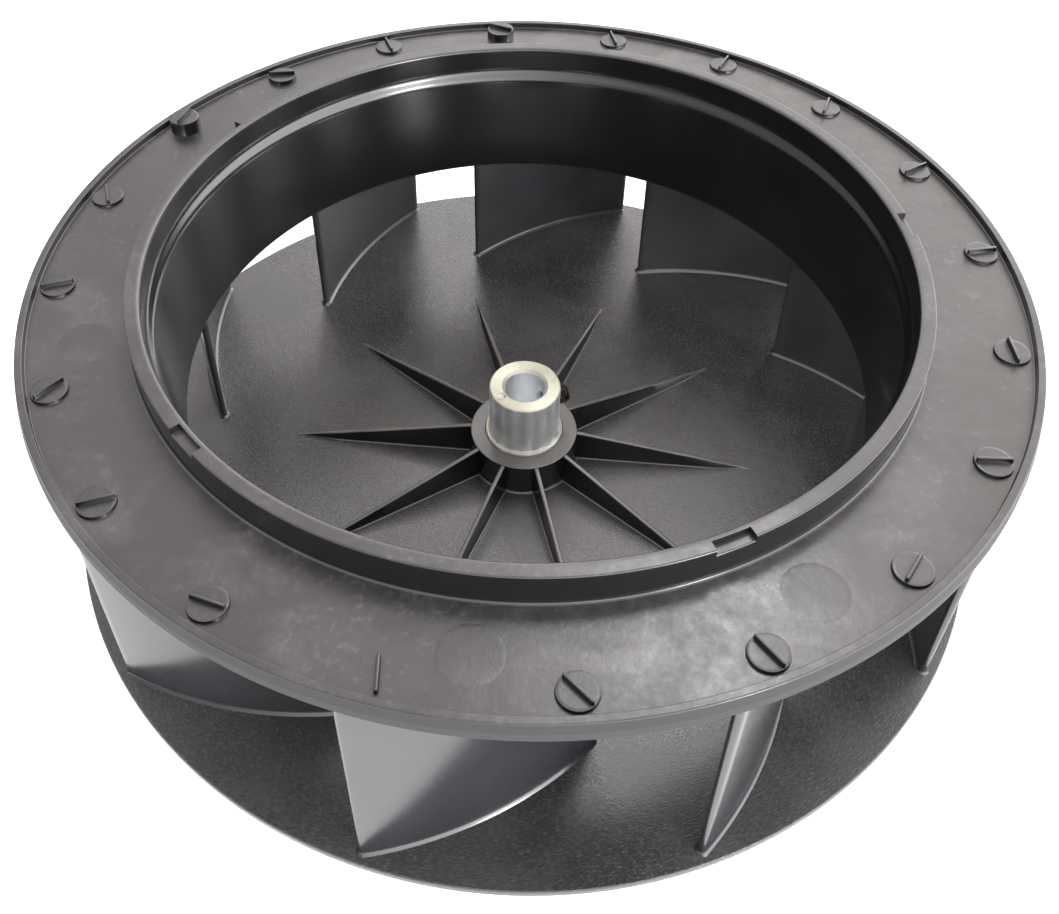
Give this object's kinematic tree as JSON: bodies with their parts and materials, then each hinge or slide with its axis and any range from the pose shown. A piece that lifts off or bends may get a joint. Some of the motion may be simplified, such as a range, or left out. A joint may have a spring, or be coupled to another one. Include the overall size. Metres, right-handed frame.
{
  "type": "blower motor wheel",
  "caption": "Backward-curved centrifugal blower wheel: flanged inlet collar, curved blades, ribbed back plate and a steel hub with a radial set screw.",
  "frame": {"origin": "centre of the wheel's underside, on the shaft axis at the back plate's lower face", "axes": "+Z along the shaft axis from the back plate towards the inlet; +X to the right and +Y away from a viewer facing the wheel"},
  "size_m": [0.2794, 0.2794, 0.0908],
  "materials": {
    "shroud_black_plastic": "satin moulded glass-filled plastic with blotchy sheen",
    "blade_black_plastic": "semi-gloss moulded plastic",
    "plate_black_plastic": "satin moulded plastic with fine grain",
    "hub_zinc_plated_steel": "turned, bright zinc plated",
    "screw_black_oxide": "black oxide"
  },
  "bodies": {
    "wheel": {"inlet_collar": "shroud_black_plastic", "front_flange": "shroud_black_plastic", "balance_disc_01": "shroud_black_plastic", "balance_disc_02": "shroud_black_plastic", "balance_disc_03": "shroud_black_plastic", "balance_disc_04": "shroud_black_plastic", "balance_disc_05": "shroud_black_plastic", "balance_disc_06": "shroud_black_plastic", "balance_disc_07": "shroud_black_plastic", "balance_disc_08": "shroud_black_plastic", "balance_disc_09": "shroud_black_plastic", "balance_disc_10": "shroud_black_plastic", "balance_disc_11": "shroud_black_plastic", "balance_disc_12": "shroud_black_plastic", "balance_disc_13": "shroud_black_plastic", "balance_disc_14": "shroud_black_plastic", "balance_disc_15": "shroud_black_plastic", "balance_disc_16": "shroud_black_plastic", "balance_disc_17": "shroud_black_plastic", "balance_disc_18": "shroud_black_plastic", "balance_disc_19": "shroud_black_plastic", "balance_disc_20": "shroud_black_plastic", "blade_01": "blade_black_plastic", "blade_02": "blade_black_plastic", "blade_03": "blade_black_plastic", "blade_04": "blade_black_plastic", "blade_05": "blade_black_plastic", "blade_06": "blade_black_plastic", "blade_07": "blade_black_plastic", "blade_08": "blade_black_plastic", "blade_09": "blade_black_plastic", "blade_10": "blade_black_plastic", "back_plate": "plate_black_plastic", "plate_boss": "plate_black_plastic", "rib_01": "plate_black_plastic", "rib_02": "plate_black_plastic", "rib_03": "plate_black_plastic", "rib_04": "plate_black_plastic", "rib_05": "plate_black_plastic", "rib_06": "plate_black_plastic", "rib_07": "plate_black_plastic", "rib_08": "plate_black_plastic", "rib_09": "plate_black_plastic", "rib_10": "plate_black_plastic", "hub": "hub_zinc_plated_steel"},
    "screw": {"set_screw": "screw_black_oxide"}
  },
  "joints": [
    {"name": "set_screw_travel", "type": "slide", "parent": "wheel", "child": "screw", "axis": [0.891, 0.454, 0], "range_m": [-0.0025, 0.003]}
  ]
}
